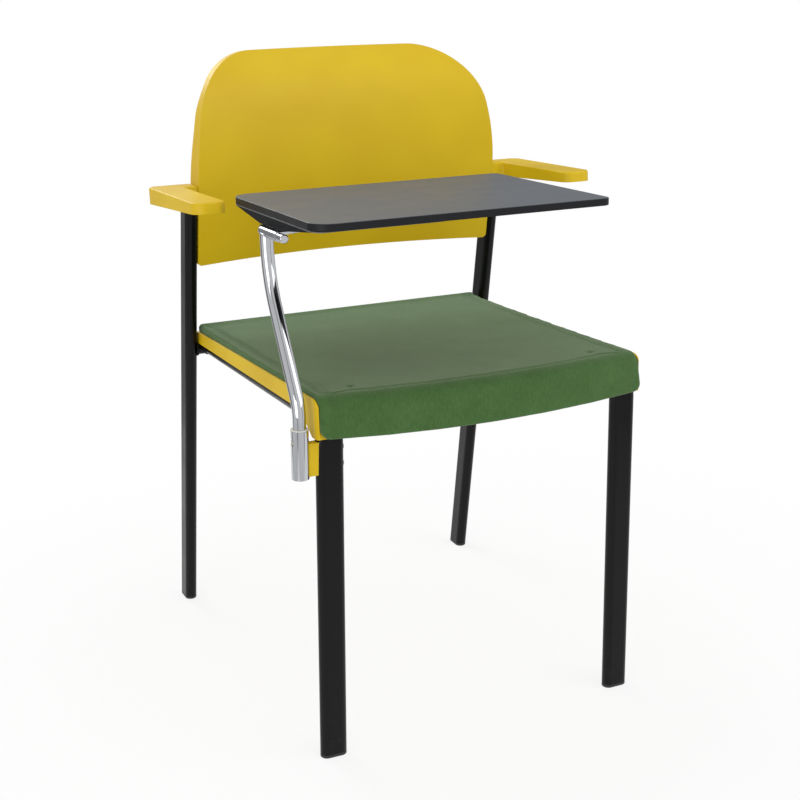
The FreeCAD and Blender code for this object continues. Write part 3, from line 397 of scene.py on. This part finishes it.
for moment in range(1, blowing_frames + 1):
    scene.frame_set(moment)
blown = settled(cushion, "blown_foam")
for vertex, target in zip(cushion.data.vertices, blown.vertices):
    step = target.co - vertex.co
    if step.length > swell_cap:
        step *= swell_cap / step.length
    vertex.co += step
cushion.modifiers.remove(cloth)
scene.frame_set(1)
for polygon in cushion.data.polygons:
    polygon.use_smooth = True
finer = cushion.modifiers.new("finer", "SUBSURF")
finer.levels = finer.render_levels = 1
cushion.data = settled(cushion, "seat_cushion")
cushion.modifiers.remove(finer)

# The sewn cover keeps the foam's cut shape, so nowhere does it lie far below or above it.
slack_limit = 0.0002
bulge_limit = 0.0008
for vertex in cushion.data.vertices:
    nearest, skin_normal = foam_skin.find_nearest(vertex.co)[:2]
    height = (vertex.co - nearest).dot(skin_normal)
    vertex.co = nearest + skin_normal * min(bulge_limit, max(-slack_limit, height))

# Two short hidden stitches hold the cover down near its front corners, each in a small dimple.
stitch_side = 0.165
stitch_reach = 0.424
dimple_radius = 0.0045
dimple_depth = 0.0018
for side in (-1, 1):
    stitch = seat_origin + seat_forward * stitch_reach + Vector((side * stitch_side, 0, 0))
    for vertex in cushion.data.vertices:
        offset = vertex.co - stitch
        height = offset.dot(seat_up)
        away = (offset - seat_up * height).length
        if height > 0 and away < 3 * dimple_radius:
            vertex.co -= seat_up * (dimple_depth * math.exp(-(away / dimple_radius) ** 2))

# The cloth's threads run across and along the pad, and turn down over its front and sides with the cover.
side_turn_start = 0.195
side_turn_width = 0.01
threads = cushion.data.uv_layers.new(name="threads")
for loop in cushion.data.loops:
    at = cushion.data.vertices[loop.vertex_index]
    forward = at.co.dot(seat_forward)
    up = at.co.dot(seat_up)
    near_side = min(1.0, max(0.0, (abs(at.co.x) - side_turn_start) / side_turn_width))
    across = at.co.x - math.copysign(up * near_side, at.co.x)
    threads.data[loop.index].uv = (across, forward - up)

wool, tree, shader = begin("woven_wool")[:3]
way = add(tree, "ShaderNodeUVMap", uv_map="threads").outputs[0]
# The yarn is 0.8 mm thick, too fine to show, so the weave is drawn with threads 1.7 mm apart. It repeats at
# every second thread, and a wave texture at scale 1 repeats at every 2 pi / 20.
weave_scale = cells(1.7) / 20 * math.pi
weft, warp = [add(tree, "ShaderNodeTexWave", {
    "Vector": way, "Scale": weave_scale, "Distortion": 1.5, "Detail": 2.0}, bands_direction=direction)
    for direction in ("X", "Y")]
weave = add(tree, "ShaderNodeMath", {0: weft.outputs[1], 1: warp.outputs[1]}, operation="MULTIPLY")
fibres = add(tree, "ShaderNodeTexNoise", {
    "Vector": way, "Scale": cells(1.6), "Detail": 6.0, "Roughness": 0.7})
melange = add(tree, "ShaderNodeTexNoise", {
    "Vector": way, "Scale": cells(45), "Detail": 4.0, "Roughness": 0.6})
# The crepe yarn draws the cloth into short creases, 2.4 mm wide and about 10 mm long, down the front.
crease_way = add(tree, "ShaderNodeMapping", {"Vector": way, "Scale": (1.0, 0.25, 1.0)})
creases = add(tree, "ShaderNodeTexNoise", {
    "Vector": crease_way.outputs[0], "Scale": cells(2.4), "Detail": 3.0})
# The colour follows the creases too, darker in their hollows and lighter on their ridges: painted shade in
# the creases, mixed with the yarn's own tone.
fibre_tone_and_crease_shade = add(tree, "ShaderNodeMix", {0: 0.5, 2: fibres.outputs[0], 3: creases.outputs[0]}, data_type="FLOAT")
yarn_tone_and_crease_shade = add(tree, "ShaderNodeMix", {0: 0.3, 2: fibre_tone_and_crease_shade.outputs[0], 3: melange.outputs[0]}, data_type="FLOAT")
spread = add(tree, "ShaderNodeMapRange", {"Value": yarn_tone_and_crease_shade.outputs[0], "From Min": 0.36, "From Max": 0.64})
green = add(tree, "ShaderNodeMix", {
    0: spread.outputs[0], 6: linear("#385828"), 7: linear("#4A6C3A")}, data_type="RGBA")
tree.links.new(green.outputs[2], shader.inputs["Base Color"])
shader.inputs["Roughness"].default_value = 0.9
shader.inputs["Specular IOR Level"].default_value = 0.25
shader.inputs["Sheen Weight"].default_value = 0.36
shader.inputs["Sheen Roughness"].default_value = 0.45
shader.inputs["Sheen Tint"].default_value = linear("#D7E0D0")
yarn = add(tree, "ShaderNodeMath", {0: weave.outputs[0], 1: fibres.outputs[0]}, operation="ADD")
nap = add(tree, "ShaderNodeMath", {0: yarn.outputs[0], 1: creases.outputs[0]}, operation="ADD")
relief(tree, shader, nap.outputs[0], 0.35, 0.5)

cushion.data.materials.clear()
cushion.data.materials.append(wool)
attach(cushion, "chair")
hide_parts("seat_pad")


# Screws. Zinc-plated button heads with a hexagon socket, turned in from below the seat, from inside the
# back's flanges, through the leg into the clamp block, and up into the armrests and the writing board.
zinc, tree, shader, place = begin("zinc_plated_steel")
spangle = add(tree, "ShaderNodeTexNoise", {"Vector": place, "Scale": cells(2.5), "Detail": 3.0})
plating = add(tree, "ShaderNodeMix", {
    0: spangle.outputs[0], 6: linear("#9DA1A4"), 7: linear("#BEC1C2")}, data_type="RGBA")
dulled = add(tree, "ShaderNodeMapRange", {"Value": spangle.outputs[0], "To Min": 0.26, "To Max": 0.44})
tree.links.new(plating.outputs[2], shader.inputs["Base Color"])
tree.links.new(dulled.outputs[0], shader.inputs["Roughness"])
shader.inputs["Metallic"].default_value = 1.0

# The head's flat top and its socket as shares of the head's radius, and the socket's cutter of its height.
crown_share, key_share, key_depth_share = 0.68, 0.42, 1.3
screw_tree = bpy.data.node_groups.new("socket_screws", "GeometryNodeTree")
screw_tree.is_modifier = True
screw_inputs = {}
for label, kind in (("Places", "NodeSocketGeometry"), ("Head radius", "NodeSocketFloat"),
                    ("Head height", "NodeSocketFloat"), ("Shank radius", "NodeSocketFloat"),
                    ("Shank length", "NodeSocketFloat"), ("Plating", "NodeSocketMaterial")):
    screw_inputs[label] = screw_tree.interface.new_socket(label, in_out="INPUT", socket_type=kind).identifier
screw_tree.interface.new_socket("Screws", in_out="OUTPUT", socket_type="NodeSocketGeometry")
given = add(screw_tree, "NodeGroupInput").outputs
crown = add(screw_tree, "ShaderNodeMath", {0: given["Head radius"], 1: crown_share}, operation="MULTIPLY")
head = add(screw_tree, "GeometryNodeMeshCone", {
    "Vertices": 28, "Side Segments": 2, "Radius Top": crown.outputs[0], "Radius Bottom": given["Head radius"],
    "Depth": given["Head height"]})
sunk = add(screw_tree, "ShaderNodeMath", {0: given["Head height"], 1: -1.0}, operation="MULTIPLY")
head_drop = add(screw_tree, "ShaderNodeCombineXYZ", {"Z": sunk.outputs[0]})
head_set = add(screw_tree, "GeometryNodeTransform", {
    "Geometry": head.outputs["Mesh"], "Translation": head_drop.outputs[0]})
key_radius = add(screw_tree, "ShaderNodeMath", {
    0: given["Head radius"], 1: key_share}, operation="MULTIPLY")
key_depth = add(screw_tree, "ShaderNodeMath", {
    0: given["Head height"], 1: key_depth_share}, operation="MULTIPLY")
key = add(screw_tree, "GeometryNodeMeshCylinder", {
    "Vertices": 6, "Radius": key_radius.outputs[0], "Depth": key_depth.outputs[0]})
socketed = add(screw_tree, "GeometryNodeMeshBoolean", {
    "Mesh 1": head_set.outputs[0], "Mesh 2": key.outputs["Mesh"]}, operation="DIFFERENCE")
shank = add(screw_tree, "GeometryNodeMeshCylinder", {
    "Vertices": 16, "Radius": given["Shank radius"], "Depth": given["Shank length"]})
half_shank = add(screw_tree, "ShaderNodeMath", {0: given["Shank length"], 1: -0.5}, operation="MULTIPLY")
under_head = add(screw_tree, "ShaderNodeMath", {
    0: half_shank.outputs[0], 1: sunk.outputs[0]}, operation="ADD")
shank_drop = add(screw_tree, "ShaderNodeCombineXYZ", {"Z": under_head.outputs[0]})
shank_set = add(screw_tree, "GeometryNodeTransform", {
    "Geometry": shank.outputs["Mesh"], "Translation": shank_drop.outputs[0]})
whole = add(screw_tree, "GeometryNodeJoinGeometry")
screw_tree.links.new(socketed.outputs["Mesh"], whole.inputs[0])
screw_tree.links.new(shank_set.outputs[0], whole.inputs[0])
outward = add(screw_tree, "GeometryNodeInputNamedAttribute", {"Name": "outward"}, data_type="FLOAT_VECTOR")
turned = add(screw_tree, "FunctionNodeAlignRotationToVector", {"Vector": outward.outputs[0]}, axis="Z")
rows = add(screw_tree, "GeometryNodeInstanceOnPoints", {
    "Points": given["Places"], "Instance": whole.outputs[0], "Rotation": turned.outputs[0]})
real = add(screw_tree, "GeometryNodeRealizeInstances", {0: rows.outputs[0]})
plated = add(screw_tree, "GeometryNodeSetMaterial", {
    "Geometry": real.outputs[0], "Material": given["Plating"]})
add(screw_tree, "NodeGroupOutput", {0: plated.outputs[0]})


def solids(node_name):
    """The corner points of each separate solid of a CAD node."""
    shape = merged(node_name)
    left = dict.fromkeys(shape.verts)
    found = []
    while left:
        group = []
        reached = [left.popitem()[0]]
        while reached:
            vertex = reached.pop()
            group.append(vertex.co.copy())
            for edge in vertex.link_edges:
                other = edge.other_vert(vertex)
                if other in left:
                    del left[other]
                    reached.append(other)
        found.append(group)
    shape.free()
    return found


def screws(name, node_name, axis, head_mm, height_mm, shank_mm, body):
    """Stands socket screws where the CAD screws of a node are, with their heads at the wider end."""
    axis = Vector(axis).normalized()
    end_share = 0.12
    places, ways, reach = [], [], 0
    for group in solids(node_name):
        middle = sum(group, Vector()) / len(group)
        along = [(point - middle).dot(axis) for point in group]
        low, high = min(along), max(along)
        lowest, highest = [Vector([pick(p[i] for p in group) for i in range(3)]) for pick in (min, max)]
        centre = (lowest + highest) / 2
        foot = centre - axis * (centre - middle).dot(axis)
        low_radius, high_radius = [
            max(((p - foot) - axis * (p - foot).dot(axis)).length
                for p, a in zip(group, along) if abs(a - limit) < (high - low) * end_share)
            for limit in (low, high)]
        heads_high = high_radius > low_radius
        places.append(foot + axis * (high if heads_high else low))
        ways.append(axis if heads_high else -axis)
        reach = high - low
    points = bpy.data.meshes.new(name)
    points.from_pydata(places, [], [])
    outward = points.attributes.new("outward", "FLOAT_VECTOR", "POINT")
    for item, way in zip(outward.data, ways):
        item.vector = way
    seed = placed(points, name + "_places")
    grown = seed.modifiers.new("screws", "NODES")
    grown.node_group = screw_tree
    for label, value in (("Head radius", head_mm / 1000), ("Head height", height_mm / 1000),
                         ("Shank radius", shank_mm / 1000), ("Shank length", reach - height_mm / 1000),
                         ("Plating", zinc)):
        grown[screw_inputs[label]] = value
    piece = placed(settled(seed, name), name)
    bpy.data.objects.remove(seed)
    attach(piece, body)
    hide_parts(node_name)


screws("seat_socket_screws", "seat_screws", seat_up, 5.5, 3.0, 3.0, "chair")
screws("back_socket_screws", "back_screws", (1, 0, 0), 4.5, 2.5, 2.4, "chair")
screws("clamp_socket_screws", "clamp_screws", (1, 0, 0), 4.5, 1.2, 2.5, "chair")
arm_tilt = math.radians(6)
arm_up = Vector((0, math.sin(arm_tilt), math.cos(arm_tilt)))
screws("arm_socket_screws", "arm_screws", arm_up, 4.0, 2.4, 2.0, "chair")
tablet_tilt = math.radians(3)
tablet_up = Vector((0, math.sin(tablet_tilt), math.cos(tablet_tilt)))
screws("leaf_socket_screws", "leaf_screws", tablet_up, 4.5, 2.5, 2.5, "tablet")


# Back. A single polypropylene moulding, hollow in plan and rolled back at the top, whose side flanges
# lie on the uprights and take the screws.
give(polypropylene, "back_shell")


# Armrests. Solid polypropylene bars on top of the uprights. A steel strip with a welded foot is let
# into the underside of each and holds it to the tube.
give(polypropylene, "armrest_right", "armrest_left")
give(zinc, "arm_bracket_right", "arm_bracket_left")


# Post socket. A yellow polypropylene block, screwed to the right front leg, carries a chromed steel
# sleeve. Two nylon bushes in the sleeve guide the post, and a plug closes its foot.
chrome, tree, shader, place = begin("chromed_steel")
touched = add(tree, "ShaderNodeTexNoise", {
    "Vector": place, "Scale": cells(18), "Detail": 5.0, "Roughness": 0.6})
polish = add(tree, "ShaderNodeMapRange", {
    "Value": touched.outputs[0], "From Min": 0.35, "From Max": 0.75, "To Min": 0.05, "To Max": 0.14})
tree.links.new(polish.outputs[0], shader.inputs["Roughness"])
shader.inputs["Base Color"].default_value = linear("#C2C4C8")
shader.inputs["Metallic"].default_value = 1.0

nylon, tree, shader, place = begin("moulded_nylon")
cloudy = add(tree, "ShaderNodeTexNoise", {"Vector": place, "Scale": cells(4), "Detail": 2.0})
natural = add(tree, "ShaderNodeMix", {
    0: cloudy.outputs[0], 6: linear("#DEDCD4"), 7: linear("#CFCDC4")}, data_type="RGBA")
tree.links.new(natural.outputs[2], shader.inputs["Base Color"])
shader.inputs["Roughness"].default_value = 0.45
relief(tree, shader, cloudy.outputs[0], 0.05, 0.3)

give(polypropylene, "clamp_block")
give(chrome, "post_sleeve")
give(nylon, "upper_bush", "lower_bush")
give(glide_plastic, "sleeve_plug")


# Post. Chromed steel tube, straight in the sleeve, set back above it and upright again under the tablet.
# A pin in it runs in the sleeve's slot and stops the swing. The hinge barrel is welded across its top.
give(chrome, "tablet_post", "hinge_barrel", "hinge_washers")
give(zinc, "stop_pin")


# Tablet hinge. A chromed steel leaf whose two knuckles turn on a zinc-plated axle through the barrel.
# A lug welded to the barrel carries the leaf and holds the tablet level.
give(chrome, "hinge_leaf", "tablet_stop")
give(zinc, "hinge_axle")


# Tablet underbody. A faceted tray of black ABS that hides the hinge leaf, screwed up into the board.
abs_plastic, tree, shader, place = begin("moulded_abs")
# The tool's leather-like grain is about 0.5 mm and is drawn at 1.4 mm.
grain = add(tree, "ShaderNodeTexVoronoi", {"Vector": place, "Scale": cells(1.4)}, feature="SMOOTH_F1")
grey_black = add(tree, "ShaderNodeMix", {
    0: grain.outputs[0], 6: linear("#0E0F11"), 7: linear("#141518")}, data_type="RGBA")
tree.links.new(grey_black.outputs[2], shader.inputs["Base Color"])
shader.inputs["Roughness"].default_value = 0.5
shader.inputs["Specular IOR Level"].default_value = 0.06
relief(tree, shader, grain.outputs[0], 0.06, 0.4)
give(abs_plastic, "tablet_underbody")


# Writing board. Compact laminate in charcoal with a fine pearl finish; its edges are rounded over and
# polished.
# The writing face and a thin depth under it are painted mid grey: painted reflection of the bright surround.
reflection_depth_low, reflection_depth_high = 0.0005, 0.0002
laminate, tree, shader, place = begin("compact_laminate")
writing_face = max(v.co.dot(tablet_up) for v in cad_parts["tablet_board"].data.vertices)
above_hinge = add(tree, "ShaderNodeVectorMath", {0: place, 1: tablet_up}, operation="DOT_PRODUCT")
painted_reflection_share = add(tree, "ShaderNodeMapRange", {
    "Value": above_hinge.outputs["Value"], "From Min": writing_face - reflection_depth_low,
    "From Max": writing_face - reflection_depth_high})
pearl = add(tree, "ShaderNodeTexNoise", {"Vector": place, "Scale": cells(1.2), "Detail": 2.0})
smears = add(tree, "ShaderNodeTexNoise", {
    "Vector": place, "Scale": cells(80), "Detail": 5.0, "Roughness": 0.6})
core = add(tree, "ShaderNodeMix", {
    0: pearl.outputs[0], 6: linear("#121316"), 7: linear("#191A1E")}, data_type="RGBA")
# Painted reflection: the writing face's mid grey stands in for the bright surround that it mirrors.
painted_reflection_grey = add(tree, "ShaderNodeMix", {
    0: pearl.outputs[0], 6: linear("#5C6066"), 7: linear("#666A70")}, data_type="RGBA")
charcoal_and_painted_reflection = add(tree, "ShaderNodeMix", {
    0: painted_reflection_share.outputs[0], 6: core.outputs[2], 7: painted_reflection_grey.outputs[2]}, data_type="RGBA")
tree.links.new(charcoal_and_painted_reflection.outputs[2], shader.inputs["Base Color"])
wiped = add(tree, "ShaderNodeMapRange", {
    "Value": smears.outputs[0], "From Min": 0.3, "From Max": 0.7, "To Min": 0.40, "To Max": 0.50})
tree.links.new(wiped.outputs[0], shader.inputs["Roughness"])
shader.inputs["Specular IOR Level"].default_value = 0.22
relief(tree, shader, pearl.outputs[0], 0.03, 0.2)
give(laminate, "tablet_board")


# Highlight strip. A thin grey strip in the joint between the tray's rim and the board: painted highlight.
strip_radius = 0.0006
rim_tolerance = 0.0001
level_facing = 0.99
shape = merged("tablet_underbody")
rim_height = max(v.co.dot(tablet_up) for v in shape.verts)
rim_edges = [edge for edge in shape.edges if len(edge.link_faces) == 2
             and all(rim_height - v.co.dot(tablet_up) < rim_tolerance for v in edge.verts)
             and sum(face.normal.dot(tablet_up) > level_facing for face in edge.link_faces) == 1]
loops = []
left = dict.fromkeys(rim_edges)
while left:
    edge = left.popitem()[0]
    loop = [edge.verts[0], edge.verts[1]]
    while loop[-1] is not loop[0]:
        onward = next((e for e in loop[-1].link_edges if e in left), None)
        if onward is None:
            break
        del left[onward]
        loop.append(onward.other_vert(loop[-1]))
    loops.append([v.co.copy() for v in loop[:-1]])
outer_loop = max(loops, key=lambda loop: sum((a - b).length for a, b in zip(loop, loop[1:])))
shape.free()
strip_curve = bpy.data.curves.new("painted_highlight_strip", "CURVE")
strip_curve.dimensions = "3D"
strip_curve.bevel_depth = strip_radius
strip_curve.bevel_resolution = 2
line_round = strip_curve.splines.new("POLY")
line_round.points.add(len(outer_loop) - 1)
for point, where in zip(line_round.points, outer_loop):
    point.co = (*(where - tablet_up * strip_radius), 1.0)
line_round.use_cyclic_u = True
strip_path = placed(strip_curve, "highlight_strip_path")
strip = placed(settled(strip_path, "painted_highlight_strip"), "painted_highlight_strip")
bpy.data.objects.remove(strip_path)
highlight_paint, tree, shader, place = begin("painted_highlight_grey")
wear = add(tree, "ShaderNodeTexNoise", {"Vector": place, "Scale": cells(6), "Detail": 3.0})
# Painted highlight: the strip's grey stands in for the light caught on the edge of the joint.
highlight_grey_tone = add(tree, "ShaderNodeMix", {
    0: wear.outputs[0], 6: linear("#5C5E61"), 7: linear("#6C6E71")}, data_type="RGBA")
tree.links.new(highlight_grey_tone.outputs[2], shader.inputs["Base Color"])
shader.inputs["Roughness"].default_value = 0.5
strip.data.materials.clear()
strip.data.materials.append(highlight_paint)
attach(strip, "tablet")
